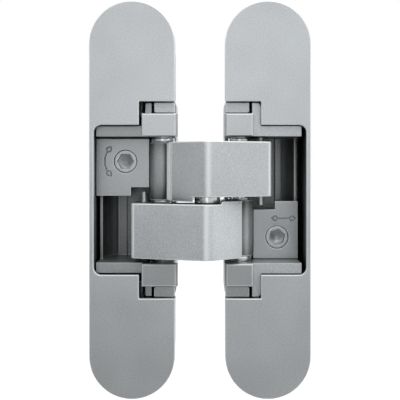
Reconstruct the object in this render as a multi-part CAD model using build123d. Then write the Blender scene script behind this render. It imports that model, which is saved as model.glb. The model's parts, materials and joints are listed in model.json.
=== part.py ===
from build123d import *
import os
from math import acos, atan2, cos, degrees, hypot, pi, radians, sin

# Concealed door hinge, open at 180 degrees, in millimetres.
# X runs across the two leaves, Y runs from the face plates into the frame and the door, Z is up.
# The work plane has X = 0 midway between the leaves and Y = 0 on the faces. At the end every piece
# is moved so that the origin is the centre of the frame-side screw holes, on the flange's seat.

# Leaves
leaf_width = 28.0
leaf_height = 130.0
leaf_gap = 16.4
cover_thick = 1.6
flange_thick = 3.0
body_inset = 0.2
step_depth = 12.0
step_height = 105.4
step_corner = 4.0
box_corner = 3.0
wall = 1.5

# Openings in the face plates
pocket_height = 49.0
pocket_corner = 2.4
cover_rim = 1.5
notch_width = 11.75
notch_gap = 0.25
housing_side_wall = 0.5
inner_wall = 1.0
inner_wall_start = 15.4

# Screw holes under the face plates
screw_hole_radius = 2.3
end_screw_margin = 7.5
inner_screw_margin = 8.9
tab_width = 5.0
tab_thick = 1.4
tab_length = 2.2
tab_gap = 0.1
tab_margin = 14.5

# Settings of the hinge
height_travel = 3.0
depth_travel = 1.0
side_travel = 1.0
side_setting = 0.8
body_clearance = 0.5
slide_clearance = 0.3
running_clearance = 0.05

# Linkage, seen from above: distances outwards from the middle and depths behind the faces
pivot_left = 12.6
pivot_right = 13.4
pivot_depth = 9.0
centre_x = 2.4
centre_depth = 2.0
guide_left = 19.2
guide_left_depth = 12.2
guide_right = 20.7
guide_right_depth = 12.0
closed_gap = 4.0
guide_points = 9

# Arms
pin_radius = 2.0
guide_pin_radius = 1.0
knuckle_radius = 4.4
knuckle_blend = 0.2
knuckle_web = 1.5
ridge_depth = -7.3
ridge_half = 1.1
ridge_round = 4.0
arm_back_depth = 5.5
centre_boss_radius = 4.6
arm_height = 17.9
arm_level_gap = 2.28
arm_tip_round = 1.5
upper_near_round = 1.3
lower_near_round = 0.6
upper_drop = 1.53
lower_drop = 0.9
upper_corner = 3.1
upper_wall_foot = 1.8
upper_step = 4.6
lower_corner = -0.2
lower_wall_foot = -0.2
lower_step = 4.5
arm_corner_depth = 0.2
eye_right_radius = 2.6
eye_left_radius = 3.3
leg_inset = 0.9
washer_radius = 4.3
axial_play = 0.09
pin_inset = 0.2
guide_pin_free = 1.2

# Carriages
carriage_wall = 3.5
strip_left_depth = 2.9
strip_right_depth = 1.8
carriage_back_depth = 23.3
carriage_back = 1.5
carriage_outer_left = 34.4
carriage_inner = 9.8
carriage_side_wall = 1.0
carriage_hollow_round = 7.0
rib_left_width = 2.9
rib_left_offset = 5.2
rib_right_width = 2.0
rib_right_offset = 4.7
rib_height = 1.2
leg_end_gap = 0.05
leg_thick = 3.0
leg_left_inner = 16.0
leg_left_outer = 18.5
leg_left_slant = 0.5
leg_right_inner = 17.1
leg_right_outer = 20.1
leg_right_round = 1.3
groove_depth = 2.7

# Bearing blocks
block_height = 7.5
block_depth = 13.4
block_bevel = 0.35
block_inner_bevel = 0.8
block_left_outer = 19.1
block_right_inner = 8.0
block_right_outer = 17.4
block_lip = 0.9
block_body_inset = 0.2
block_left_body = 16.6
block_right_body = 16.9
block_seat = 0.2
block_roof = 1.5
bush_radius = 3.0
flange_radius = 3.9
flange_bush_thick = 1.35
flange_bush_gap = 0.32
spacer_radius = 2.7
spacer_flange = 0.5

# Clamp jaws and the slide frame
jaw_depth = 2.1
jaw_thick = 4.0
jaw_height = 3.3
jaw_gap = 0.35
jaw_inset = 0.15
jaw_left_outer = 15.1
jaw_right_outer = 16.2
jaw_corner = 0.7
frame_sheet = 1.2
frame_gap = 0.3
frame_fold_radius = 2.0
frame_wing_inset = 1.0

# Adjusting plates and their socket screws
plate_left_depth = 8.8
plate_right_depth = 11.5
plate_thick = 2.6
plate_left_outer = 35.15
plate_left_inner = 17.25
plate_right_inner = 18.2
plate_left_gap = 0.5
plate_right_gap = 0.2
plate_bottom = 1.0
cut_height = 2.85
cut_left = 23.5
cut_right = 25.6
screw_left_x = 25.3
screw_left_drop = 7.7
screw_right_x = 26.3
screw_right_drop = 7.3
screw_head_radius = 3.75
screw_head_gap = 0.2
screw_head_sink = 0.1
screw_head_height = 3.8
screw_shank_radius = 2.0
hex_flats = 5.0
hex_depth = 2.6
hex_rim = 0.3
hex_point_depth = 1.2
screw_boss_radius = 5.2
eccentric_throw = 1.155
eccentric_radius = 1.4
eccentric_turn = 46.0
eccentric_play = 0.25
eccentric_rim = 0.3
eccentric_gap = 0.8
slot_end_play = 0.5
slot_floor = 0.4
hex_left_turn = 0.0
hex_right_turn = 17.0

leaf_inner = leaf_gap / 2
leaf_outer = leaf_inner + leaf_width
leaf_centre = leaf_inner + leaf_width / 2
end_screw_pitch = leaf_height - 2 * end_screw_margin
inner_screw_pitch = step_height - 2 * inner_screw_margin
tab_pitch = leaf_height - 2 * tab_margin
flange_back = cover_thick + flange_thick
cavity_outer = leaf_outer - body_inset - housing_side_wall
inward_travel = side_travel + side_setting
carriage_outer_right = cavity_outer - inward_travel - slide_clearance
arm_inner_z = arm_level_gap / 2
arm_outer_z = arm_inner_z + arm_height
wall_inner_z = arm_outer_z + axial_play + flange_bush_thick + flange_bush_gap
wall_outer_z = wall_inner_z + carriage_wall
plate_left_top = wall_inner_z - plate_left_gap
plate_right_top = wall_inner_z - plate_right_gap
screw_left_z = plate_left_top - screw_left_drop
screw_right_z = plate_right_top - screw_right_drop
block_outer_z = wall_inner_z + block_height
jaw_inner_z = block_outer_z + jaw_gap
jaw_outer_z = jaw_inner_z + jaw_height
leg_height = jaw_outer_z - leg_end_gap
frame_outer_z = jaw_inner_z + frame_sheet
carriage_end = carriage_back_depth + carriage_back
frame_depth = carriage_end + depth_travel + frame_gap
box_inside = frame_depth + frame_sheet + depth_travel + slide_clearance
box_depth = box_inside + wall
cavity_half = wall_outer_z + height_travel + body_clearance
channel_half = frame_outer_z + height_travel + body_clearance
shoulder_half = jaw_outer_z + height_travel + slide_clearance
notch_half = jaw_outer_z + notch_gap
shoulder_depth = jaw_depth + jaw_thick + depth_travel + body_clearance
shoulder_far = leg_right_outer + inward_travel + slide_clearance
channel_far = block_right_outer + inward_travel + slide_clearance
box_half = channel_half + wall
LEFT = -1
RIGHT = 1
UP = 1
DOWN = -1


# Flat outlines: front ones lie in X and Z and are pushed back along Y, plan ones in X and Y
def pushed(outline, front, back):
    """Front-view outline pushed from one depth to another."""
    plane = Plane((0, front, 0), x_dir=(1, 0, 0), z_dir=(0, -1, 0))
    return extrude(plane * outline, amount=front - back)


def raised(outline, low, high):
    """Plan outline raised from one height to another."""
    return extrude(Plane.XY.offset(low) * outline, amount=high - low)


def rectangle(x_from, x_to, v_from, v_to):
    """Rectangle between two corners of the outline's plane."""
    centre = Pos((x_from + x_to) / 2, (v_from + v_to) / 2)
    return centre * Rectangle(abs(x_to - x_from), abs(v_to - v_from))


def rounded(x_from, x_to, v_from, v_to, radius):
    """Rectangle between two corners, with rounded corners."""
    centre = Pos((x_from + x_to) / 2, (v_from + v_to) / 2)
    return centre * RectangleRounded(abs(x_to - x_from), abs(v_to - v_from), radius)


def rod(x, z, radius, front, back):
    """Round bar along Y."""
    return pushed(Pos(x, z) * Circle(radius), front, back)


def post(x, depth, radius, low, high):
    """Round bar along Z."""
    return raised(Pos(x, depth) * Circle(radius), low, high)


# Linkage: where each pin goes while the right leaf closes over the left one
def turned(point, about, angle):
    """Point turned about another in plan."""
    dx = point[0] - about[0]
    dy = point[1] - about[1]
    x = about[0] + dx * cos(angle) - dy * sin(angle)
    y = about[1] + dx * sin(angle) + dy * cos(angle)
    return (x, y)


def direction(tail, head):
    """Angle of the line from one point to another."""
    return atan2(head[1] - tail[1], head[0] - tail[0])


left_pivot = (-pivot_left, pivot_depth)
right_pivot = (pivot_right, pivot_depth)
centre_pivot = (centre_x, centre_depth)
left_guide = (-guide_left, guide_left_depth)
right_guide = (guide_right, guide_right_depth)


def closing_angles():
    """Turns of the upper and the lower arm from open to closed."""
    shut_pivot = (-right_pivot[0], -closed_gap - right_pivot[1])
    upper = hypot(centre_pivot[0] - left_pivot[0], centre_pivot[1] - left_pivot[1])
    lower = hypot(right_pivot[0] - centre_pivot[0], right_pivot[1] - centre_pivot[1])
    base = hypot(shut_pivot[0] - left_pivot[0], shut_pivot[1] - left_pivot[1])
    spread = acos((upper**2 + base**2 - lower**2) / (2 * upper * base))
    aim = direction(left_pivot, shut_pivot) - spread
    shut_centre = (left_pivot[0] + upper * cos(aim), left_pivot[1] + upper * sin(aim))
    upper_turn = (direction(left_pivot, centre_pivot) - aim) % (2 * pi)
    lower_end = direction(shut_centre, shut_pivot)
    lower_turn = (direction(centre_pivot, right_pivot) - lower_end) % (2 * pi)
    return upper_turn, lower_turn


upper_turn, lower_turn = closing_angles()


def pin_route(leaf):
    """Points that a guide pin passes in its own leaf, from open to closed."""
    route = []
    for step in range(guide_points):
        share = step / (guide_points - 1)
        centre = turned(centre_pivot, left_pivot, -upper_turn * share)
        shift = (centre[0] - centre_pivot[0], centre[1] - centre_pivot[1])
        if leaf == LEFT:
            carried = (left_guide[0] + shift[0], left_guide[1] + shift[1])
            route.append(turned(carried, centre, -lower_turn * share))
        else:
            pin = turned(right_guide, left_pivot, -upper_turn * share)
            carried = (right_pivot[0] + shift[0], right_pivot[1] + shift[1])
            pivot = turned(carried, centre, -lower_turn * share)
            pin = (pin[0] - pivot[0] + right_pivot[0], pin[1] - pivot[1] + right_pivot[1])
            route.append(turned(pin, right_pivot, pi * share))
    return route


def groove_outline(leaf):
    """Curved groove that lets the guide pin run from open to closed."""
    route = pin_route(leaf)
    half = guide_pin_radius + running_clearance
    groove = trace(Spline(*route), line_width=2 * half)
    return groove + Pos(*route[0]) * Circle(half) + Pos(*route[-1]) * Circle(half)


# Housings and face plates
def leaf_outline():
    """Front of a leaf: a tall plate with round ends."""
    return SlotOverall(leaf_height, leaf_width, rotation=90)


def tab_outline(leaf, end, gap):
    """Front of one snap tab, or of its pocket in the flange where a gap is given."""
    middle = Pos(leaf * leaf_centre, end * tab_pitch / 2)
    return middle * Rectangle(tab_width + 2 * gap, tab_thick + 2 * gap)


def make_cover(leaf):
    """C-shaped face plate with the pocket, its two notches and snap tabs on its back."""
    middle = leaf * leaf_centre
    plate = pushed(Pos(middle, 0) * leaf_outline(), 0, cover_thick)
    far = leaf * (leaf_outer - cover_rim)
    near = leaf * (leaf_inner - pocket_corner - 1)
    notch = leaf * (leaf_inner + notch_width)
    pocket = rounded(near, far, -pocket_height / 2, pocket_height / 2, pocket_corner)
    notches = rectangle(near, notch, -notch_half, notch_half)
    plate -= pushed(pocket + notches, -1, cover_thick + 1)
    for end in (UP, DOWN):
        plate += pushed(tab_outline(leaf, end, 0), cover_thick, cover_thick + tab_length)
    return plate


def make_housing(leaf):
    """Cast housing: flange, middle step and deep box, hollowed for the carriage."""
    middle = leaf * leaf_centre
    near = leaf * (leaf_inner + body_inset)
    far = leaf * (leaf_outer - body_inset)
    cavity_far = leaf * cavity_outer
    cavity_near = leaf * (leaf_inner + body_inset + inner_wall)
    open_side = leaf * (leaf_inner - 1)
    body = pushed(Pos(middle, 0) * leaf_outline(), cover_thick, flange_back)
    step = rounded(near, far, -step_height / 2, step_height / 2, step_corner)
    body += pushed(step, flange_back, step_depth)
    box = rounded(near, far, -box_half, box_half, box_corner)
    body += pushed(box, step_depth, box_depth)
    shoulder = rectangle(open_side, leaf * shoulder_far, -shoulder_half, shoulder_half)
    body -= pushed(shoulder, 0, shoulder_depth)
    for far_side, half in ((cavity_far, cavity_half), (leaf * channel_far, channel_half)):
        body -= pushed(rectangle(open_side, far_side, -half, half), 0, inner_wall_start)
        body -= pushed(rectangle(cavity_near, far_side, -half, half), inner_wall_start, box_inside)
    for end in (UP, DOWN):
        for pitch in (end_screw_pitch, inner_screw_pitch):
            at = end * pitch / 2
            body -= rod(middle, at, screw_hole_radius, 0, box_depth)
        body -= pushed(tab_outline(leaf, end, tab_gap), 0, cover_thick + tab_length + tab_gap)
    if leaf == RIGHT:
        reach = eccentric_throw + eccentric_radius + slot_end_play
        peg_x = screw_right_x + eccentric_throw * sin(radians(eccentric_turn))
        half = eccentric_radius + eccentric_play
        slot = rectangle(peg_x - half, peg_x + half, -screw_right_z - reach, -screw_right_z + reach)
        body -= pushed(slot, box_inside - 1, box_depth - slot_floor)
    return body


# Carriages
def slanted_leg(near, far, end):
    """Front of a left leg, which narrows towards its end."""
    foot = end * (wall_outer_z - 1)
    tip = end * leg_height
    corners = [(near, foot), (far, foot), (far + leg_left_slant, tip), (near, tip)]
    return make_face(Polyline(*corners, close=True))


def hollow_corner(leaf, side_near):
    """Plan of the rounded corner between the side and the back inside a carriage."""
    centre_x = side_near - leaf * carriage_hollow_round
    middle_depth = carriage_back_depth - carriage_hollow_round
    corner = rectangle(centre_x, side_near, middle_depth, carriage_back_depth)
    return corner - Pos(centre_x, middle_depth) * Circle(carriage_hollow_round)


def make_carriage(leaf):
    """Cast carriage: two strips with legs at their inner ends, a back wall and the guide groove."""
    left = leaf == LEFT
    strip = strip_left_depth if left else strip_right_depth
    outer = leaf * (carriage_outer_left if left else carriage_outer_right)
    inner = leaf * carriage_inner
    leg_near = leaf * (leg_left_inner if left else leg_right_inner)
    leg_far = leaf * (leg_left_outer if left else leg_right_outer)
    block_side = leaf * ((block_left_body if left else block_right_body) + block_seat)
    plan = rectangle(inner, outer, strip, carriage_end)
    plan -= rectangle(leaf * leaf_inner, block_side, 0, block_depth + block_seat)
    body = raised(plan, -wall_outer_z, wall_outer_z)
    hollow = rectangle(leaf * 0, leaf * leaf_outer, -wall_inner_z, wall_inner_z)
    body -= pushed(hollow, 0, carriage_back_depth)
    side_near = outer - leaf * carriage_side_wall
    side = rectangle(side_near, outer, -wall_inner_z, wall_inner_z)
    plate_front = plate_left_depth if left else plate_right_depth
    plate_back = plate_front + plate_thick
    body += pushed(side, plate_back + body_inset if left else plate_back, carriage_back_depth)
    for end in (UP, DOWN):
        leg = rectangle(leg_near, leg_far, end * (wall_outer_z - 1), end * leg_height)
        corner = leg.vertices().sort_by_distance((leg_far, end * leg_height, 0))[0]
        leg = slanted_leg(leg_near, leg_far, end) if left else fillet(corner, leg_right_round)
        body += pushed(leg, strip, strip + leg_thick)
    body += raised(hollow_corner(leaf, side_near), -wall_inner_z, wall_inner_z)
    rib_x = outer - leaf * (rib_left_offset if left else rib_right_offset)
    rib_far = rib_x - leaf * (rib_left_width if left else rib_right_width)
    rib = rectangle(rib_x, rib_far, -wall_inner_z, wall_inner_z)
    body += pushed(rib, carriage_back_depth - rib_height, carriage_back_depth)
    groove_end = DOWN if left else UP
    groove_low = min(groove_end * wall_inner_z, groove_end * (wall_inner_z + groove_depth))
    body -= raised(groove_outline(leaf), groove_low, groove_low + groove_depth)
    screw_x = -screw_left_x if left else screw_right_x
    screw_z = screw_left_z if left else -screw_right_z
    head_back = plate_front + screw_head_height
    body += rod(screw_x, screw_z, screw_boss_radius, plate_back, carriage_back_depth)
    body -= rod(screw_x, screw_z, screw_head_radius + screw_head_gap, 0, head_back)
    body -= rod(screw_x, screw_z, screw_shank_radius + running_clearance, 0, carriage_end + 1)
    return body


def make_block(leaf, end):
    """Raised bearing block with bevelled front edges and a bore for the flanged bush."""
    left = leaf == LEFT
    low = wall_inner_z
    near = leaf * (leaf_inner - block_lip if left else block_right_inner)
    cap_far = leaf * (block_left_outer if left else block_right_outer)
    cap_back = (strip_left_depth if left else strip_right_depth) - block_seat
    body_far = leaf * (block_left_body if left else block_right_body)
    body_near = leaf * (leaf_inner + block_body_inset if left else block_right_inner)
    cap = pushed(rectangle(near, cap_far, end * low, end * block_outer_z), 0, cap_back)
    inner_edge = cap.edges().filter_by(Axis.Z).sort_by_distance((near, 0, 0))[0]
    cap = chamfer(inner_edge, block_inner_bevel)
    front = cap.faces().sort_by(Axis.Y)[0]
    rest = [e for e in front.edges() if abs(e.center().X - near) > block_inner_bevel + block_bevel]
    cap = chamfer(rest, block_bevel)
    body = rectangle(body_near, body_far, end * low, end * block_outer_z)
    block = cap + pushed(body, cap_back, block_depth)
    if left:
        leg_side = leaf * (leg_left_inner - block_seat)
        leg_back = strip_left_depth + leg_thick + block_seat
        recess = rectangle(leg_side, cap_far, end * low, end * block_outer_z)
        block -= pushed(recess, cap_back, leg_back)
    pivot = left_pivot if left else right_pivot
    seat = sorted((end * (low - 1), end * (block_outer_z - block_roof)))
    block -= post(*pivot, bush_radius, *seat)
    return block


def make_flange_bush(leaf, end):
    """Turned bush: its flange carries the arm and its sleeve sits in the block."""
    pivot = left_pivot if leaf == LEFT else right_pivot
    low = end * (arm_outer_z + axial_play)
    high = end * (arm_outer_z + axial_play + flange_bush_thick)
    top = end * (block_outer_z - block_roof)
    bush = post(*pivot, flange_radius, *sorted((low, high)))
    bush += post(*pivot, bush_radius, *sorted((high, top)))
    return bush - post(*pivot, pin_radius, -block_outer_z, block_outer_z)


def make_spacer(leaf):
    """Long flanged spacer that keeps its arm at its height on the pin."""
    pivot = left_pivot if leaf == LEFT else right_pivot
    side = DOWN if leaf == LEFT else UP
    shoulder = (upper_drop if leaf == LEFT else lower_drop) - arm_inner_z + axial_play
    seat = side * (arm_outer_z + axial_play)
    flange_far = side * (shoulder + spacer_flange)
    flange_near = side * shoulder
    spacer = post(*pivot, spacer_radius, *sorted((flange_near, seat)))
    spacer += post(*pivot, flange_radius, *sorted((flange_near, flange_far)))
    return spacer - post(*pivot, pin_radius, -block_outer_z, block_outer_z)


def make_pivot_pin(leaf):
    """Plain pin through both blocks of a leaf."""
    pivot = left_pivot if leaf == LEFT else right_pivot
    return post(*pivot, pin_radius, -block_outer_z + block_roof, block_outer_z - block_roof)


# Arms
def arm_outline(leaf):
    """Plan of one arm: knuckle, two facets that meet in a ridge, and the hooked guided end."""
    left = leaf == LEFT
    pivot = left_pivot if left else right_pivot
    eye = right_guide if left else left_guide
    eye_radius = eye_right_radius if left else eye_left_radius
    corner = upper_corner if left else lower_corner
    foot = upper_wall_foot if left else lower_wall_foot
    corner_x = pivot[0] - leaf * corner
    foot_x = pivot[0] - leaf * foot
    foot_y = pivot[1] - (knuckle_radius**2 - foot**2) ** 0.5 + knuckle_blend
    web_y = pivot[1] + (knuckle_radius**2 - knuckle_web**2) ** 0.5 - knuckle_blend
    tip = eye[0] - leaf * eye_radius
    hook = eye[0] + leaf * eye_radius
    other = right_pivot if left else left_pivot
    hook_foot = hook + leaf * leg_inset
    points = [
        pivot,
        (foot_x, foot_y),
        (corner_x, arm_corner_depth),
        (centre_x + leaf * ridge_half, ridge_depth),
        (centre_x - leaf * ridge_half, ridge_depth),
        (tip, 0),
        (tip, eye[1]),
        (hook, eye[1]),
        (hook_foot, arm_back_depth),
        (centre_x, centre_depth + centre_boss_radius),
        (pivot[0] - leaf * knuckle_web, web_y),
    ]
    body = make_face(Polyline(*points, close=True))
    ridge = [v for v in body.vertices() if abs(v.Y - ridge_depth) < 1e-6]
    body = fillet(ridge, ridge_round)
    tips = [v for v in body.vertices() if abs(v.X - tip) < 1e-6 and abs(v.Y) < 1e-6]
    body = fillet(tips, arm_tip_round)
    near = [v for v in body.vertices() if abs(v.X - corner_x) < 1e-6 and v.Y < 1]
    return fillet(near, upper_near_round if left else lower_near_round)


def make_arm(leaf):
    """Cast arm with a deeper knuckle half and bores for its three pins."""
    left = leaf == LEFT
    side = UP if left else DOWN
    pivot = left_pivot if left else right_pivot
    eye = right_guide if left else left_guide
    outline = arm_outline(leaf)
    step = upper_step if left else lower_step
    cut_x = centre_x + leaf * step
    shallow = sorted((side * arm_inner_z, side * arm_outer_z))
    drop = side * (arm_inner_z - (upper_drop if left else lower_drop))
    deep = sorted((drop, side * arm_outer_z))
    arm = raised(outline, *shallow)
    half = outline & rectangle(cut_x, leaf * leaf_outer, -box_depth, box_depth)
    arm += raised(half, *sorted((drop, side * (arm_inner_z + 1))))
    arm += post(*pivot, knuckle_radius, *deep)
    arm += post(*eye, eye_right_radius if left else eye_left_radius, *shallow)
    arm += post(*centre_pivot, centre_boss_radius, *shallow)
    arm -= post(*pivot, pin_radius + running_clearance, -arm_outer_z - 1, arm_outer_z + 1)
    bore = pin_radius if left else pin_radius + running_clearance
    arm -= post(*centre_pivot, bore, -arm_outer_z - 1, arm_outer_z + 1)
    arm -= post(*eye, guide_pin_radius, -arm_outer_z - 1, arm_outer_z + 1)
    return arm


def make_guide_pin(leaf):
    """Thin pin through the guided end of the arm, with one end in the groove of its leaf."""
    eye = left_guide if leaf == LEFT else right_guide
    side = DOWN if leaf == LEFT else UP
    groove_end = side * (wall_inner_z + groove_depth - slide_clearance)
    free_end = -side * (arm_inner_z + guide_pin_free)
    return post(*eye, guide_pin_radius, *sorted((groove_end, free_end)))


def make_centre_pin():
    """Pin that joins the two arms."""
    return post(*centre_pivot, pin_radius, -arm_outer_z + pin_inset, arm_outer_z - pin_inset)


def make_centre_washer():
    """Thrust washer between the arms."""
    low = -arm_inner_z + axial_play
    washer = post(*centre_pivot, washer_radius, low, arm_inner_z)
    return washer - post(*centre_pivot, pin_radius, low - 1, arm_inner_z + 1)


# Clamp jaws and the slide frame behind the left carriage
def make_jaw(leaf, end):
    """Jaw seen in the notch beyond the bearing block."""
    left = leaf == LEFT
    near = leaf * (leaf_inner + jaw_inset)
    far = leaf * (jaw_left_outer if left else jaw_right_outer)
    jaw = rectangle(near, far, end * jaw_inner_z, end * jaw_outer_z)
    corner = jaw.vertices().sort_by_distance((far, end * jaw_inner_z, 0))[0]
    jaw = fillet(corner, jaw_corner)
    return pushed(jaw, jaw_depth, jaw_depth + jaw_thick)


def make_slide_frame():
    """Folded frame: a back plate with two arms that reach forward to the jaws."""
    front = jaw_depth + jaw_thick
    back = frame_depth + frame_sheet
    profile = Polyline(
        (front, frame_outer_z),
        (back, frame_outer_z),
        (back, -frame_outer_z),
        (front, -frame_outer_z),
        (front, -jaw_inner_z),
        (frame_depth, -jaw_inner_z),
        (frame_depth, jaw_inner_z),
        (front, jaw_inner_z),
        close=True,
    )
    sheet = make_face(profile)
    folds = [v for v in sheet.vertices() if abs(v.X - back) < 1e-6]
    sheet = fillet(folds, frame_fold_radius)
    folds = [v for v in sheet.vertices() if abs(v.X - frame_depth) < 1e-6]
    sheet = fillet(folds, frame_fold_radius - frame_sheet)
    near = leaf_inner + body_inset + inner_wall + slide_clearance
    plane = Plane((-near, 0, 0), x_dir=(0, 1, 0), z_dir=(-1, 0, 0))
    bent = extrude(plane * sheet, amount=jaw_left_outer - near)
    wing_far = -(screw_left_x + screw_boss_radius)
    wing_half = wall_outer_z - frame_wing_inset
    bent += pushed(rectangle(-near, wing_far, -wing_half, wing_half), frame_depth, back)
    hole_radius = screw_shank_radius + running_clearance
    return bent - rod(-screw_left_x, screw_left_z, hole_radius, frame_depth - 1, back + 1)


# Adjusting plates and socket screws
def make_plate(leaf):
    """Plate over the screw boss, cut back at the free end of the guide pin."""
    left = leaf == LEFT
    end = UP if left else DOWN
    depth = plate_left_depth if left else plate_right_depth
    outer = leaf * (plate_left_outer if left else carriage_outer_right)
    inner = leaf * (plate_left_inner if left else plate_right_inner)
    cut = leaf * (cut_left if left else cut_right)
    top = end * (plate_left_top if left else plate_right_top)
    outline = rectangle(inner, outer, end * plate_bottom, top)
    cut_top = end * (plate_bottom + cut_height)
    outline -= rectangle(inner - leaf, cut, end * (plate_bottom - 1), cut_top)
    plate = pushed(outline, depth, depth + plate_thick)
    screw_x = -screw_left_x if left else screw_right_x
    screw_z = screw_left_z if left else -screw_right_z
    gap = screw_head_radius + screw_head_gap
    return plate - rod(screw_x, screw_z, gap, depth - 1, depth + plate_thick + 1)


def make_hex_screw(leaf):
    """Socket screw: plain on the left, with an eccentric peg on the right."""
    left = leaf == LEFT
    x = -screw_left_x if left else screw_right_x
    z = screw_left_z if left else -screw_right_z
    plate_front = plate_left_depth if left else plate_right_depth
    front = plate_front + screw_head_sink
    head_back = plate_front + screw_head_height
    turn = hex_left_turn if left else hex_right_turn
    head = rod(x, z, screw_head_radius, front, head_back)
    socket = Pos(x, z) * RegularPolygon(hex_flats / 2, 6, major_radius=False, rotation=turn)
    head -= pushed(socket, front - 1, front + hex_depth)
    point_middle = front + hex_depth + hex_point_depth / 2
    point = Cone(hex_flats / 2 - hex_rim, 0, hex_point_depth)
    head -= Pos(x, point_middle, z) * Rot(-90, 0, 0) * point
    if left:
        return head + rod(x, z, screw_shank_radius, head_back, frame_depth + frame_sheet)
    disc_front = carriage_end + eccentric_gap
    disc_back = box_inside - eccentric_gap
    turn_rad = radians(eccentric_turn)
    peg_x = x + eccentric_throw * sin(turn_rad)
    peg_z = z + eccentric_throw * cos(turn_rad)
    screw = head + rod(x, z, screw_shank_radius, head_back, disc_front)
    screw += rod(x, z, eccentric_throw + eccentric_radius + eccentric_rim, disc_front, disc_back)
    peg_end = box_depth - slot_floor - slide_clearance
    return screw + rod(peg_x, peg_z, eccentric_radius, disc_back, peg_end)


def pieces():
    """Every piece of the hinge by name."""
    made = {}
    for leaf, name in ((LEFT, "left"), (RIGHT, "right")):
        made["housing_" + name] = make_housing(leaf)
        made["cover_" + name] = make_cover(leaf)
        made["carriage_" + name] = make_carriage(leaf)
        made["adjuster_plate_" + name] = make_plate(leaf)
        made["hex_screw_" + name] = make_hex_screw(leaf)
        made["pivot_pin_" + name] = make_pivot_pin(leaf)
        made["spacer_bush_" + name] = make_spacer(leaf)
        for end, level in ((UP, "upper"), (DOWN, "lower")):
            made["bearing_block_" + name + "_" + level] = make_block(leaf, end)
            made["flange_bush_" + name + "_" + level] = make_flange_bush(leaf, end)
            made["clamp_jaw_" + name + "_" + level] = make_jaw(leaf, end)
    made["slide_frame_left"] = make_slide_frame()
    made["upper_arm"] = make_arm(LEFT)
    made["lower_arm"] = make_arm(RIGHT)
    made["centre_pin"] = make_centre_pin()
    made["centre_washer"] = make_centre_washer()
    made["guide_pin_lower"] = make_guide_pin(LEFT)
    made["guide_pin_upper"] = make_guide_pin(RIGHT)
    return made


os.makedirs("parts", exist_ok=True)
to_origin = Pos(leaf_centre, -flange_back, 0)
for piece_name, piece in pieces().items():
    moved = to_origin * piece
    moved.label = piece_name
    export_step(moved, os.path.join("parts", piece_name + ".step"))
print("upper arm turn", round(degrees(upper_turn), 4))
print("lower arm turn", round(degrees(lower_turn), 4))
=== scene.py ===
import bmesh
import bpy
import json
from math import atan2, cos, degrees, pi, radians, sin
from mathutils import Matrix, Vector


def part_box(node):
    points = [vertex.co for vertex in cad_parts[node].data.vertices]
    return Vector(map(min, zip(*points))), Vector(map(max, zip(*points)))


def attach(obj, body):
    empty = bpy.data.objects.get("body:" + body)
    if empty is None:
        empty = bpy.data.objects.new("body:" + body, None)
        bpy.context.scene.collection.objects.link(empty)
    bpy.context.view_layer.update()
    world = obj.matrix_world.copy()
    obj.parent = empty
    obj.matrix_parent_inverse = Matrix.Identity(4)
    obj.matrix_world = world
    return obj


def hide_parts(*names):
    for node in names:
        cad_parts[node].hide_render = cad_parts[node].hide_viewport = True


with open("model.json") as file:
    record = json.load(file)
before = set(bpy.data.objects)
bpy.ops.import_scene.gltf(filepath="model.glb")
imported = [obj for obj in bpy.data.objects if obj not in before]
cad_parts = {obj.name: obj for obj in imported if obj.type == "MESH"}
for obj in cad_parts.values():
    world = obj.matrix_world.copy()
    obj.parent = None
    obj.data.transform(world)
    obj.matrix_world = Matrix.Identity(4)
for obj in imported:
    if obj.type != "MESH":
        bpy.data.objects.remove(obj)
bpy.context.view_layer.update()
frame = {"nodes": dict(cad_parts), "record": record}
mm = 0.001
leaves = ("left", "right")
hinge_middle = 22.2 * mm
face_plane = -4.6 * mm
body_of_node = {n: b for b, nodes in frame["record"]["behaviour"]["bodies"].items() for n in nodes}

# Housings
# Each leaf has one zinc die casting: a flange with round ends, a middle step and a deep box.
# It is sprayed in the same satin silver as the rest and let into the wood, so its edges are barely broken.
housing_edge = 0.15 * mm
paint_tint = (0.955, 1.0, 1.025)
# Bright colour of the painted highlight on rounded edges.
painted_highlight_colour = (0.95, 0.97, 0.98, 1.0)
# Near-black colour of painted shade, mixed into the paint deep in recesses.
painted_shade_colour = (0.020, 0.026, 0.022, 1.0)
grain_scale = 2600.0
grain_detail = 2.0
grain_roughness = 0.7
cloud_scale = 70.0
cloud_detail = 1.0
cloud_share = 0.25
cloudy_middle = 0.5 * (1 + cloud_share)
grain_in_roughness = 0.35
grain_bump = 0.12
grain_height = 0.03 * mm
edge_width = 0.3 * mm
edge_gain = 5.0
edge_scatter = 0.25
edge_samples = 4
recess_samples = 8
bevel_from = radians(40)
smooth_below = radians(35)
weld = 0.001 * mm
flat_tolerance = radians(1)


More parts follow.
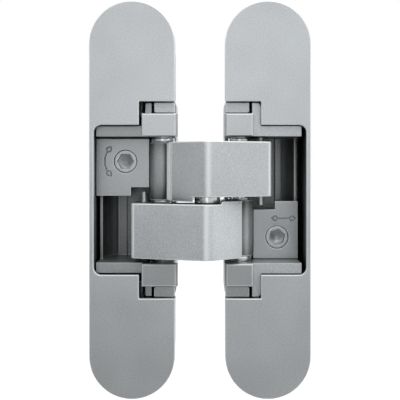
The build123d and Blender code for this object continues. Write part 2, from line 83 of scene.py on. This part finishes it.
def grain_group():
    """Fine flake grain of the sprayed silver, with soft clouding under it."""
    group = bpy.data.node_groups.new("silver_grain", "ShaderNodeTree")
    face = group.interface
    face.new_socket("Colour", in_out="INPUT", socket_type="NodeSocketColor")
    face.new_socket("Grain Scale", in_out="INPUT", socket_type="NodeSocketFloat")
    face.new_socket("Grain Amount", in_out="INPUT", socket_type="NodeSocketFloat")
    face.new_socket("Roughness", in_out="INPUT", socket_type="NodeSocketFloat")
    face.new_socket("Colour", in_out="OUTPUT", socket_type="NodeSocketColor")
    face.new_socket("Roughness", in_out="OUTPUT", socket_type="NodeSocketFloat")
    face.new_socket("Height", in_out="OUTPUT", socket_type="NodeSocketFloat")
    nodes, links = group.nodes, group.links
    given = nodes.new("NodeGroupInput")
    out = nodes.new("NodeGroupOutput")
    place = nodes.new("ShaderNodeTexCoord")
    flake = nodes.new("ShaderNodeTexNoise")
    flake.inputs["Detail"].default_value = grain_detail
    flake.inputs["Roughness"].default_value = grain_roughness
    cloud = nodes.new("ShaderNodeTexNoise")
    cloud.inputs["Scale"].default_value = cloud_scale
    cloud.inputs["Detail"].default_value = cloud_detail
    links.new(place.outputs["Object"], flake.inputs["Vector"])
    links.new(place.outputs["Object"], cloud.inputs["Vector"])
    links.new(given.outputs["Grain Scale"], flake.inputs["Scale"])
    both = nodes.new("ShaderNodeMath")
    both.operation = "MULTIPLY_ADD"
    both.inputs[1].default_value = cloud_share
    links.new(cloud.outputs["Fac"], both.inputs[0])
    links.new(flake.outputs["Fac"], both.inputs[2])
    centred = nodes.new("ShaderNodeMath")
    centred.operation = "SUBTRACT"
    centred.inputs[1].default_value = cloudy_middle
    links.new(both.outputs[0], centred.inputs[0])
    scaled = nodes.new("ShaderNodeMath")
    scaled.operation = "MULTIPLY"
    links.new(centred.outputs[0], scaled.inputs[0])
    links.new(given.outputs["Grain Amount"], scaled.inputs[1])
    gain = nodes.new("ShaderNodeMath")
    gain.operation = "ADD"
    gain.inputs[1].default_value = 1.0
    links.new(scaled.outputs[0], gain.inputs[0])
    tinted = nodes.new("ShaderNodeVectorMath")
    tinted.operation = "SCALE"
    links.new(given.outputs["Colour"], tinted.inputs[0])
    links.new(gain.outputs[0], tinted.inputs["Scale"])
    links.new(tinted.outputs[0], out.inputs["Colour"])
    rough = nodes.new("ShaderNodeMath")
    rough.operation = "MULTIPLY_ADD"
    links.new(scaled.outputs[0], rough.inputs[0])
    rough.inputs[1].default_value = grain_in_roughness
    links.new(given.outputs["Roughness"], rough.inputs[2])
    links.new(rough.outputs[0], out.inputs["Roughness"])
    links.new(flake.outputs["Fac"], out.inputs["Height"])
    return group


def painted_edge_highlight_group():
    """Mask of the rounded edges, where a highlight is painted into the colour."""
    group = bpy.data.node_groups.new("painted_edge_highlight", "ShaderNodeTree")
    face = group.interface
    face.new_socket("Painted Highlight", in_out="INPUT", socket_type="NodeSocketFloat")
    face.new_socket("Width", in_out="INPUT", socket_type="NodeSocketFloat")
    face.new_socket("Gain", in_out="INPUT", socket_type="NodeSocketFloat")
    face.new_socket("Mask", in_out="OUTPUT", socket_type="NodeSocketFloat")
    nodes, links = group.nodes, group.links
    given = nodes.new("NodeGroupInput")
    out = nodes.new("NodeGroupOutput")
    rounded = nodes.new("ShaderNodeBevel")
    rounded.samples = edge_samples
    shape = nodes.new("ShaderNodeNewGeometry")
    turn = nodes.new("ShaderNodeVectorMath")
    turn.operation = "DOT_PRODUCT"
    links.new(given.outputs["Width"], rounded.inputs["Radius"])
    links.new(rounded.outputs["Normal"], turn.inputs[0])
    links.new(shape.outputs["Normal"], turn.inputs[1])
    bend = nodes.new("ShaderNodeMath")
    bend.operation = "SUBTRACT"
    bend.inputs[0].default_value = 1.0
    links.new(turn.outputs["Value"], bend.inputs[1])
    strong = nodes.new("ShaderNodeMath")
    strong.operation = "MULTIPLY_ADD"
    strong.use_clamp = True
    links.new(bend.outputs[0], strong.inputs[0])
    links.new(given.outputs["Gain"], strong.inputs[1])
    links.new(given.outputs["Painted Highlight"], strong.inputs[2])
    links.new(strong.outputs[0], out.inputs["Mask"])
    return group


def painted_recess_shade_group():
    """How open a spot lies to the sky, for the painted shade that darkens recesses."""
    group = bpy.data.node_groups.new("painted_recess_shade", "ShaderNodeTree")
    face = group.interface
    face.new_socket("Reach", in_out="INPUT", socket_type="NodeSocketFloat")
    face.new_socket("Shut", in_out="INPUT", socket_type="NodeSocketFloat")
    face.new_socket("Clear", in_out="INPUT", socket_type="NodeSocketFloat")
    face.new_socket("Open", in_out="OUTPUT", socket_type="NodeSocketFloat")
    nodes, links = group.nodes, group.links
    given = nodes.new("NodeGroupInput")
    out = nodes.new("NodeGroupOutput")
    hidden = nodes.new("ShaderNodeAmbientOcclusion")
    hidden.samples = recess_samples
    links.new(given.outputs["Reach"], hidden.inputs["Distance"])
    ramp = nodes.new("ShaderNodeMapRange")
    links.new(hidden.outputs["AO"], ramp.inputs["Value"])
    links.new(given.outputs["Shut"], ramp.inputs["From Min"])
    links.new(given.outputs["Clear"], ramp.inputs["From Max"])
    links.new(ramp.outputs["Result"], out.inputs["Open"])
    return group


silver_grain = grain_group()
painted_edge_highlight = painted_edge_highlight_group()
painted_recess_shade = painted_recess_shade_group()

# Two passing materials tell the bevel's own faces from the rest, until the paint replaces them.
bevel_marks = [bpy.data.materials.new(name) for name in ("kept_face", "rounded_edge")]


def silver_paint(name, tone, roughness=0.38, metal=0.7, grain=0.8, edge=0.8, reach=5.0, shut=0.0,
                 clear=0.7):
    """Satin silver paint.

    Tone is its brightness and edge the strength of the highlight painted on its edges. Reach, in
    millimetres, is how near a wall has to be for painted shade in a recess, and shut and clear are the open
    shares of sky where that painted shade is full and over.
    """
    material = bpy.data.materials.new(name)
    material.use_nodes = True
    nodes, links = material.node_tree.nodes, material.node_tree.links
    shader = nodes["Principled BSDF"]
    shader.inputs["Metallic"].default_value = metal
    grained = nodes.new("ShaderNodeGroup")
    grained.node_tree = silver_grain
    grained.inputs["Colour"].default_value = (*[tone * c for c in paint_tint], 1.0)
    grained.inputs["Grain Scale"].default_value = grain_scale
    grained.inputs["Grain Amount"].default_value = grain
    grained.inputs["Roughness"].default_value = roughness
    edges = nodes.new("ShaderNodeGroup")
    edges.node_tree = painted_edge_highlight
    edges.inputs["Width"].default_value = edge_width
    edges.inputs["Gain"].default_value = edge_gain
    painted_highlight_mask = nodes.new("ShaderNodeAttribute")
    painted_highlight_mask.attribute_name = "painted_highlight_mask"
    links.new(painted_highlight_mask.outputs["Fac"], edges.inputs["Painted Highlight"])
    painted_highlight_share = nodes.new("ShaderNodeMath")
    painted_highlight_share.operation = "MULTIPLY"
    painted_highlight_share.inputs[1].default_value = edge
    links.new(edges.outputs["Mask"], painted_highlight_share.inputs[0])
    open_air = nodes.new("ShaderNodeGroup")
    open_air.node_tree = painted_recess_shade
    open_air.inputs["Reach"].default_value = reach * mm
    open_air.inputs["Shut"].default_value = shut
    open_air.inputs["Clear"].default_value = clear
    # Painted shade: the colour goes toward near black where the spot is hidden from the sky.
    shaded = nodes.new("ShaderNodeMix")
    shaded.data_type = "RGBA"
    shaded.inputs["A"].default_value = painted_shade_colour
    links.new(open_air.outputs["Open"], shaded.inputs["Factor"])
    links.new(grained.outputs["Colour"], shaded.inputs["B"])
    # Painted highlight: the colour goes toward white on the marked edges.
    brighter = nodes.new("ShaderNodeMix")
    brighter.data_type = "RGBA"
    brighter.inputs["B"].default_value = painted_highlight_colour
    links.new(painted_highlight_share.outputs[0], brighter.inputs["Factor"])
    links.new(shaded.outputs["Result"], brighter.inputs["A"])
    links.new(brighter.outputs["Result"], shader.inputs["Base Color"])
    scattered = nodes.new("ShaderNodeMath")
    scattered.operation = "MULTIPLY_ADD"
    scattered.inputs[1].default_value = edge_scatter
    links.new(painted_highlight_share.outputs[0], scattered.inputs[0])
    links.new(grained.outputs["Roughness"], scattered.inputs[2])
    links.new(scattered.outputs[0], shader.inputs["Roughness"])
    bump = nodes.new("ShaderNodeBump")
    bump.inputs["Strength"].default_value = grain_bump
    bump.inputs["Distance"].default_value = grain_height
    links.new(grained.outputs["Height"], bump.inputs["Height"])
    links.new(bump.outputs["Normal"], shader.inputs["Normal"])
    return material


def only(piece):
    """Makes one piece the active and only selected one."""
    bpy.ops.object.select_all(action="DESELECT")
    piece.select_set(True)
    bpy.context.view_layer.objects.active = piece


def apply_modifiers(piece):
    """Applies a piece's modifiers in their order."""
    only(piece)
    for modifier in list(piece.modifiers):
        bpy.ops.object.modifier_apply(modifier=modifier.name)


def shade(piece):
    """Smooth shading on the rounded edges, with the flat faces kept flat."""
    only(piece)
    if piece.data.has_custom_normals:
        bpy.ops.mesh.customdata_custom_splitnormals_clear()
    bpy.ops.object.shade_smooth_by_angle(angle=smooth_below)
    flat = piece.modifiers.new("flat", "WEIGHTED_NORMAL")
    flat.keep_sharp = True
    apply_modifiers(piece)


def round_edges(piece, width, segments=3):
    """Rounds the sharp edges of a finished shape and keeps its flat faces flat."""
    bevel = piece.modifiers.new("edges", "BEVEL")
    bevel.width = width
    bevel.segments = segments
    bevel.limit_method = "ANGLE"
    bevel.angle_limit = bevel_from
    bevel.use_clamp_overlap = False
    bevel.loop_slide = False
    for mark in bevel_marks:
        piece.data.materials.append(mark)
    bevel.material = 1
    apply_modifiers(piece)
    # The bevel's own faces are marked for the painted edge highlight.
    painted_highlight_mask = piece.data.attributes.new("painted_highlight_mask", "FLOAT", "CORNER")
    for face in piece.data.polygons:
        for corner in face.loop_indices:
            painted_highlight_mask.data[corner].value = float(face.material_index == 1)
        face.material_index = 0
    shade(piece)


def fit(piece, node, material):
    """Puts a finished piece in the place of its node, on the node's body."""
    piece.data.materials.clear()
    piece.data.materials.append(material)
    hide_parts(node)
    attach(piece, body_of_node[node])


def eased(node, width, material, segments=3):
    """The piece with its edges rounded, as tumbling and paint leave them."""
    piece = bpy.data.objects.new(node + "_eased", frame["nodes"][node].data.copy())
    bpy.context.scene.collection.objects.link(piece)
    piece.data.materials.clear()
    only(piece)
    bpy.ops.object.mode_set(mode="EDIT")
    bpy.ops.mesh.select_all(action="SELECT")
    bpy.ops.mesh.remove_doubles(threshold=weld)
    bpy.ops.mesh.dissolve_limited(angle_limit=flat_tolerance)
    bpy.ops.mesh.quads_convert_to_tris(quad_method="BEAUTY", ngon_method="BEAUTY")
    bpy.ops.object.mode_set(mode="OBJECT")
    round_edges(piece, width, segments)
    fit(piece, node, material)
    return piece


housing_paint = silver_paint("housing_silver", 0.60, reach=18.0, shut=0.05, clear=0.8)
for leaf in leaves:
    eased("housing_" + leaf, housing_edge, housing_paint, segments=2)

# Cover plates
# A thin plate closes each flange and hides its screws: a tall shape with round ends and a C cut out of
# its inner side. It is cast and sprayed, and its front edges have a fine bevel that shows as a bright line,
# partly as its own reflection and partly as painted highlight.
cover_edge = 0.28 * mm
cover_paint = silver_paint("cover_silver", 0.59, clear=0.5)
for leaf in leaves:
    eased("cover_" + leaf, cover_edge, cover_paint)

# Slide frame and clamp jaws
# The frame is a folded strip of zinc plated steel that carries the left half up and down.
# The jaws are small blocks in the notches, with one round corner.
frame_edge = 0.1 * mm
jaw_edge = 0.2 * mm
frame_steel = silver_paint("slide_frame_steel", 0.50, roughness=0.35, reach=18.0, shut=0.05, clear=0.8)
# The lower jaws are toned darker than the upper ones as painted shade under the arms.
jaw_tones_with_painted_shade = {"upper": 0.52, "lower": 0.44}
eased("slide_frame_left", frame_edge, frame_steel, segments=2)
for level in jaw_tones_with_painted_shade:
    paint = silver_paint("jaw_silver_" + level, jaw_tones_with_painted_shade[level], reach=3.0, clear=0.6)
    for leaf in leaves:
        eased("clamp_jaw_" + leaf + "_" + level, jaw_edge, paint)

# Carriages
# One casting in each leaf holds the pivot blocks, the adjusting plate and the curved guide groove.
# The strips and legs show at the front, and the inside is darkened by painted shade.
carriage_edge = 0.2 * mm
carriage_tones = {"left": 0.40, "right": 0.57}
carriage_clear = {"left": 0.40, "right": 0.52}
for leaf in leaves:
    paint = silver_paint("carriage_silver_" + leaf, carriage_tones[leaf], edge=0.2, reach=30.0,
                         clear=carriage_clear[leaf])
    eased("carriage_" + leaf, carriage_edge, paint, segments=2)

# Bearing blocks
# Four raised blocks hold the pivot pins above and below the arms.
# Their front edges are bevelled, and they stand level with the face plates.
block_edge = 0.12 * mm
# The lower blocks are toned darker than the upper ones as painted shade under the arms.
block_tones_with_painted_shade = {"upper": 0.57, "lower": 0.44}
for level in block_tones_with_painted_shade:
    paint = silver_paint("block_silver_" + level, block_tones_with_painted_shade[level], edge=0.8, clear=0.5)
    for leaf in leaves:
        eased("bearing_block_" + leaf + "_" + level, block_edge, paint, segments=2)

# Pins, bushes and spacers
# Ground steel pins run in turned bushes, whose polished flanges show between the blocks and the arms.
# All of them are bare steel, turned on a lathe, so fine rings run round them.
bush_edge = 0.12 * mm
spacer_edge = 0.1 * mm
pin_edge = 0.15 * mm
guide_pin_edge = 0.2 * mm
washer_edge = 0.2 * mm
bush_colour = (0.96, 0.97, 0.98)
pin_colour = (0.82, 0.83, 0.84)
ring_scale = 700.0
ring_detail = 3.0
ring_squeeze = 14.0
ring_shade = 0.85
ring_rough_low, ring_rough_high = 0.8, 1.3


def turned_steel(name, colour, roughness, metal):
    """Turned and ground steel, with fine rings round its axis."""
    material = bpy.data.materials.new(name)
    material.use_nodes = True
    nodes, links = material.node_tree.nodes, material.node_tree.links
    shader = nodes["Principled BSDF"]
    shader.inputs["Metallic"].default_value = metal
    place = nodes.new("ShaderNodeTexCoord")
    stretch = nodes.new("ShaderNodeMapping")
    stretch.inputs["Scale"].default_value = (1.0, 1.0, ring_squeeze)
    rings = nodes.new("ShaderNodeTexNoise")
    rings.inputs["Scale"].default_value = ring_scale
    rings.inputs["Detail"].default_value = ring_detail
    links.new(place.outputs["Object"], stretch.inputs["Vector"])
    links.new(stretch.outputs["Vector"], rings.inputs["Vector"])
    tone = nodes.new("ShaderNodeMapRange")
    tone.inputs["To Min"].default_value = roughness * ring_rough_low
    tone.inputs["To Max"].default_value = roughness * ring_rough_high
    links.new(rings.outputs["Fac"], tone.inputs["Value"])
    links.new(tone.outputs["Result"], shader.inputs["Roughness"])
    ringed = nodes.new("ShaderNodeMix")
    ringed.data_type = "RGBA"
    ringed.inputs["A"].default_value = (*[c * ring_shade for c in colour], 1.0)
    ringed.inputs["B"].default_value = (*colour, 1.0)
    links.new(rings.outputs["Fac"], ringed.inputs["Factor"])
    links.new(ringed.outputs["Result"], shader.inputs["Base Color"])
    return material


bush_steel = turned_steel("polished_bush_steel", bush_colour, roughness=0.26, metal=1.0)
pin_steel = turned_steel("ground_pin_steel", pin_colour, roughness=0.38, metal=0.8)
for leaf in leaves:
    for level in ("upper", "lower"):
        eased("flange_bush_" + leaf + "_" + level, bush_edge, bush_steel, segments=2)
    eased("spacer_bush_" + leaf, spacer_edge, bush_steel, segments=2)
    eased("pivot_pin_" + leaf, pin_edge, pin_steel, segments=2)
eased("centre_washer", washer_edge, bush_steel, segments=2)
eased("centre_pin", pin_edge, pin_steel, segments=2)
for level in ("lower", "upper"):
    eased("guide_pin_" + level, guide_pin_edge, pin_steel, segments=2)

# Adjuster plates
# A cast plate closes each screw boss. Its double arrow, curved on the left and straight on the right,
# is engraved with a fine round groove and tells which way the screw moves the leaf.
plate_edge = 0.22 * mm
groove_radius = 0.33 * mm
groove_roundness = 3
# Its tone is lower than the cover's as painted shade deep in the pocket, and the recess darkening paints
# shade into the arrow's groove.
plate_paint = silver_paint("plate_silver", 0.47, edge=0.9, reach=0.8, shut=0.45, clear=0.98)


def groove_cutter(name, points):
    """Round cutter that follows the points, for one engraved line."""
    line = bpy.data.curves.new(name, "CURVE")
    line.dimensions = "3D"
    line.bevel_depth = groove_radius
    line.bevel_resolution = groove_roundness
    line.use_fill_caps = True
    spline = line.splines.new("POLY")
    spline.points.add(len(points) - 1)
    for point, (x, y, z) in zip(spline.points, points):
        point.co = (x, y, z, 1.0)
    cutter = bpy.data.objects.new(name, line)
    bpy.context.scene.collection.objects.link(cutter)
    only(cutter)
    bpy.ops.object.convert(target="MESH")
    bpy.ops.object.mode_set(mode="EDIT")
    bpy.ops.mesh.select_all(action="SELECT")
    bpy.ops.mesh.remove_doubles(threshold=weld)
    bpy.ops.mesh.normals_make_consistent(inside=False)
    bpy.ops.object.mode_set(mode="OBJECT")
    return cutter


def cut(piece, cutter):
    """Cuts the cutter's shape out of the piece and removes the cutter."""
    difference = piece.modifiers.new("cut", "BOOLEAN")
    difference.operation = "DIFFERENCE"
    difference.solver = "MANIFOLD"
    difference.object = cutter
    apply_modifiers(piece)
    bpy.data.objects.remove(cutter)


def arrow_head(tail, along):
    """Four lines of an outlined arrow head: a kite with its long tip in the given direction."""
    side = Vector((along.z, 0, -along.x)) * head_width / 2
    shoulder = tail + along * head_length / 3
    corners = [tail, shoulder + side, tail + along * head_length, shoulder - side]
    return [[corners[i - 1].copy(), corners[i].copy()] for i in range(4)]


def engraved_plate(leaf, routes):
    """The adjuster plate with rounded edges and its arrow cut in."""
    node = "adjuster_plate_" + leaf
    plate = eased(node, plate_edge, plate_paint, segments=2)
    for number, route in enumerate(routes):
        cut(plate, groove_cutter("arrow_%s_%d" % (leaf, number), route))
    shade(plate)


screw_left_low, screw_left_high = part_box("hex_screw_left")
head_radius = 3.75 * mm
left_screw_axis = Vector((screw_left_low.x + head_radius, 0, screw_left_high.z - head_radius))
plate_left_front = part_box("adjuster_plate_left")[0].y
plate_right_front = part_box("adjuster_plate_right")[0].y

arc_radius = 7.0 * mm
arc_half_angle = radians(28)
arc_steps = 14
head_length = 2.2 * mm
head_width = 1.9 * mm
arc = []
for step in range(arc_steps + 1):
    angle = pi - arc_half_angle + 2 * arc_half_angle * step / arc_steps
    arc.append(left_screw_axis + Vector((cos(angle), 0, sin(angle))) * arc_radius)
curved_arrow = [arc]
for end, side in ((arc[0], -1), (arc[-1], 1)):
    # The head lies along the chord of the arc's next stretch.
    outward = end - left_screw_axis
    along = Vector((-outward.z, 0, outward.x)).normalized() * side
    inward = -outward.normalized() * head_length / arc_radius / 2
    curved_arrow += arrow_head(end, (along + inward).normalized())
for points in curved_arrow:
    for point in points:
        point.y = plate_left_front
engraved_plate("left", curved_arrow)

arrow_right = 28.55 * mm
arrow_drop = 6.9 * mm
shaft_half = 1.95 * mm
arrow_middle = Vector((hinge_middle + arrow_right, plate_right_front, -arrow_drop))
straight_arrow = [[arrow_middle - Vector((shaft_half, 0, 0)), arrow_middle + Vector((shaft_half, 0, 0))]]
for side in (-1, 1):
    along = Vector((side, 0, 0))
    straight_arrow += arrow_head(arrow_middle + along * shaft_half, along)
engraved_plate("right", straight_arrow)

# Socket screws
# Both settings have a screw with a 5 mm hexagon socket, sunk level with its plate and sprayed with it.
# The drill has left a shallow cone at the bottom of each socket.
screw_edge = 0.12 * mm
screw_paint = silver_paint("screw_silver", 0.56, edge=0.3, reach=3.0, clear=0.7)
for leaf in leaves:
    eased("hex_screw_" + leaf, screw_edge, screw_paint, segments=2)

# Link arms
# Two cast arms cross at the centre pin. Each has a round knuckle, two flat faces that meet in a soft ridge,
# and a hooked end with the guide pin. All their long edges are rounded and catch the light, and a painted
# highlight brightens them, the crest and the near flank.
arm_edge = 0.35 * mm
flat_area = 40 * mm * mm
crest_half = 1.3 * mm
crest_depth = 0.05 * mm
upright = 0.2
near_flank_heading = -75
flank_turn = radians(14)
flank_depth = 4.0 * mm
ridge_depth = 2.0 * mm
# The upper arm is toned darker than the lower one as painted shade, for how the light falls on them.
arm_tones_with_painted_shade = {"upper": 0.63, "lower": 0.75}


def mark_painted_highlight_on_ridge_and_flanks(arm):
    """Marks where a highlight is painted beside the bevels: the crest, the near flank and the rounded
    corners.
    """
    reach = face_plane + flank_depth
    faces = [f for f in arm.data.polygons if abs(f.normal.z) < upright and f.center.y < reach]
    areas = {}
    for face in faces:
        heading = round(degrees(atan2(face.normal.x, -face.normal.y)))
        areas[heading] = areas.get(heading, 0) + face.area
    points = arm.data.vertices
    front = min(points, key=lambda v: v.co.y).co.y
    crest = [v.co.x for v in points if v.co.y < front + crest_depth]
    crest_x = (min(crest) + max(crest)) / 2
    painted_highlight_mask = arm.data.attributes["painted_highlight_mask"]
    for face in faces:
        heading = round(degrees(atan2(face.normal.x, -face.normal.y)))
        if areas[heading] < flat_area or heading == near_flank_heading:
            for corner in face.loop_indices:
                far = abs(points[arm.data.loops[corner].vertex_index].co.x - crest_x)
                on_ridge = face.center.y < front + ridge_depth and heading != near_flank_heading
                painted_highlight_mask.data[corner].value = max(0.0, 1 - far / crest_half) if on_ridge else 1.0


def soften_flank(arm):
    """Turns the shading of the near flank forward, as on a flank that is rounded over its whole width."""
    turned = Vector((-sin(flank_turn), -cos(flank_turn), 0))
    normals = [corner.vector.copy() for corner in arm.data.corner_normals]
    for face in arm.data.polygons:
        heading = round(degrees(atan2(face.normal.x, -face.normal.y)))
        if heading == near_flank_heading and face.center.y < face_plane + flank_depth:
            for corner in face.loop_indices:
                normals[corner] = turned
    arm.data.normals_split_custom_set(normals)


for level in arm_tones_with_painted_shade:
    arm_paint = silver_paint("arm_silver_" + level, arm_tones_with_painted_shade[level], roughness=0.40, edge=0.9, reach=14.0,
                             shut=0.5, clear=0.95)
    arm = eased(level + "_arm", arm_edge, arm_paint)
    mark_painted_highlight_on_ridge_and_flanks(arm)
    soften_flank(arm)

# Floor, light tent, lamp and camera
# The hinge hangs in front of white. A grey light tent stands round the camera's side, as a studio has it,
# with a bright patch beside the camera, and one soft lamp hangs close above the hinge.
floor_level = -0.62
floor_size = 24
floor_back = 6
floor_tone = 0.9
floor_lift = 0.8
world_fill = 0.35


def seen_rays(tree):
    """One for the rays that the eye follows: straight, glossy and through glass."""
    nodes, links = tree.nodes, tree.links
    path = nodes.new("ShaderNodeLightPath")
    seen = nodes.new("ShaderNodeMath")
    seen.operation = "ADD"
    seen.use_clamp = True
    links.new(path.outputs["Is Camera Ray"], seen.inputs[0])
    links.new(path.outputs["Is Glossy Ray"], seen.inputs[1])
    also = nodes.new("ShaderNodeMath")
    also.operation = "ADD"
    also.use_clamp = True
    links.new(seen.outputs[0], also.inputs[0])
    links.new(path.outputs["Is Transmission Ray"], also.inputs[1])
    return also.outputs[0]


world = bpy.data.worlds.new("studio")
world.use_nodes = True
bpy.context.scene.world = world
tree = world.node_tree
background = tree.nodes["Background"]
background.inputs["Color"].default_value = (1.0, 1.0, 1.0, 1.0)
strength = tree.nodes.new("ShaderNodeMapRange")
strength.inputs["To Min"].default_value = world_fill
strength.inputs["To Max"].default_value = 1.0
tree.links.new(seen_rays(tree), strength.inputs["Value"])
tree.links.new(strength.outputs["Result"], background.inputs["Strength"])

bpy.ops.object.select_all(action="DESELECT")
bpy.ops.mesh.primitive_plane_add(size=floor_size, location=(hinge_middle, floor_back, floor_level))
floor = bpy.context.object
floor.name = "floor"
floor_white = bpy.data.materials.new("floor_white")
floor_white.use_nodes = True
tree = floor_white.node_tree
shader = tree.nodes["Principled BSDF"]
shader.inputs["Base Color"].default_value = (floor_tone, floor_tone, floor_tone, 1.0)
shader.inputs["Roughness"].default_value = floor_tone
shader.inputs["Emission Color"].default_value = (1.0, 1.0, 1.0, 1.0)
lift = tree.nodes.new("ShaderNodeMath")
lift.operation = "MULTIPLY"
lift.inputs[1].default_value = floor_lift
tree.links.new(seen_rays(tree), lift.inputs[0])
tree.links.new(lift.outputs[0], shader.inputs["Emission Strength"])
floor.data.materials.append(floor_white)

tent_radius = 0.6
tent_segments, tent_rings = 64, 32
tent_edge = -0.10
dim_level, bright_level = -0.16, 0.20
dim_glow, bright_glow = 0.33, 0.90
side_gain = 0.42
patch_place = (hinge_middle - 0.03, 0.0, 0.01)
patch_outer, patch_inner = 0.12, 0.02
patch_glow = 2.0
bpy.ops.object.select_all(action="DESELECT")
bpy.ops.mesh.primitive_uv_sphere_add(segments=tent_segments, ring_count=tent_rings, radius=tent_radius,
                                     location=(hinge_middle, 0, 0))
tent = bpy.context.object
tent.name = "light_tent"
bpy.ops.object.transform_apply(location=True, rotation=True, scale=True)
bpy.ops.object.mode_set(mode="EDIT")
shape = bmesh.from_edit_mesh(tent.data)
behind = [f for f in shape.faces if f.calc_center_median().y > tent_edge]
bmesh.ops.delete(shape, geom=behind, context="FACES")
bmesh.update_edit_mesh(tent.data)
bpy.ops.object.mode_set(mode="OBJECT")
bpy.ops.object.shade_smooth()
tent_grey = bpy.data.materials.new("tent_grey")
tent_grey.use_nodes = True
tree = tent_grey.node_tree
nodes, links = tree.nodes, tree.links
nodes.remove(nodes["Principled BSDF"])
glow = nodes.new("ShaderNodeEmission")
place = nodes.new("ShaderNodeTexCoord")
split = nodes.new("ShaderNodeSeparateXYZ")
height = nodes.new("ShaderNodeMapRange")
height.interpolation_type = "SMOOTHSTEP"
height.inputs["From Min"].default_value = dim_level
height.inputs["From Max"].default_value = bright_level
height.inputs["To Min"].default_value = dim_glow
height.inputs["To Max"].default_value = bright_glow
across = nodes.new("ShaderNodeMath")
across.operation = "MULTIPLY_ADD"
across.inputs[1].default_value = side_gain
links.new(place.outputs["Object"], split.inputs[0])
links.new(split.outputs["Z"], height.inputs["Value"])
links.new(split.outputs["X"], across.inputs[0])
links.new(height.outputs["Result"], across.inputs[2])
flat = nodes.new("ShaderNodeVectorMath")
flat.operation = "MULTIPLY"
flat.inputs[1].default_value = (1.0, 0.0, 1.0)
away = nodes.new("ShaderNodeVectorMath")
away.operation = "DISTANCE"
away.inputs[1].default_value = patch_place
patch = nodes.new("ShaderNodeMapRange")
patch.interpolation_type = "SMOOTHSTEP"
patch.inputs["From Min"].default_value = patch_outer
patch.inputs["From Max"].default_value = patch_inner
patch.inputs["To Min"].default_value = 0.0
patch.inputs["To Max"].default_value = patch_glow
total = nodes.new("ShaderNodeMath")
total.operation = "ADD"
links.new(place.outputs["Object"], flat.inputs[0])
links.new(flat.outputs["Vector"], away.inputs[0])
links.new(away.outputs["Value"], patch.inputs["Value"])
links.new(across.outputs[0], total.inputs[0])
links.new(patch.outputs["Result"], total.inputs[1])
links.new(total.outputs[0], glow.inputs["Strength"])
links.new(glow.outputs[0], nodes["Material Output"].inputs["Surface"])
tent.data.materials.append(tent_grey)
tent.visible_camera = False
tent.visible_shadow = False

overhead_place = Vector((0.12, -0.22, 0.42))
overhead_width, overhead_length = 0.5, 0.3
overhead_power = 0.8
light = bpy.data.lights.new("overhead", "AREA")
light.shape = "RECTANGLE"
light.size = overhead_width
light.size_y = overhead_length
light.energy = overhead_power
overhead = bpy.data.objects.new("overhead", light)
bpy.context.scene.collection.objects.link(overhead)
overhead.location = overhead_place
aim = Vector((hinge_middle, 0, 0)) - overhead_place
overhead.rotation_euler = aim.to_track_quat("-Z", "Y").to_euler()

# The camera stands square to the face plates, nearly in front of the hinge's middle.
camera_depth = 225 * mm
camera_right = 1.5 * mm
camera_height = 11.4 * mm
view_width = 130.4 * mm
camera_data = bpy.data.cameras.new("camera")
camera_data.lens = camera_data.sensor_width * camera_depth / view_width
camera_data.shift_x = -camera_right / view_width
camera_data.shift_y = -camera_height / view_width
camera = bpy.data.objects.new("camera", camera_data)
bpy.context.scene.collection.objects.link(camera)
camera.location = (hinge_middle + camera_right, face_plane - camera_depth, camera_height)
camera.rotation_euler = (radians(90), 0, 0)
bpy.context.scene.camera = camera
bpy.context.scene.view_settings.view_transform = "Standard"
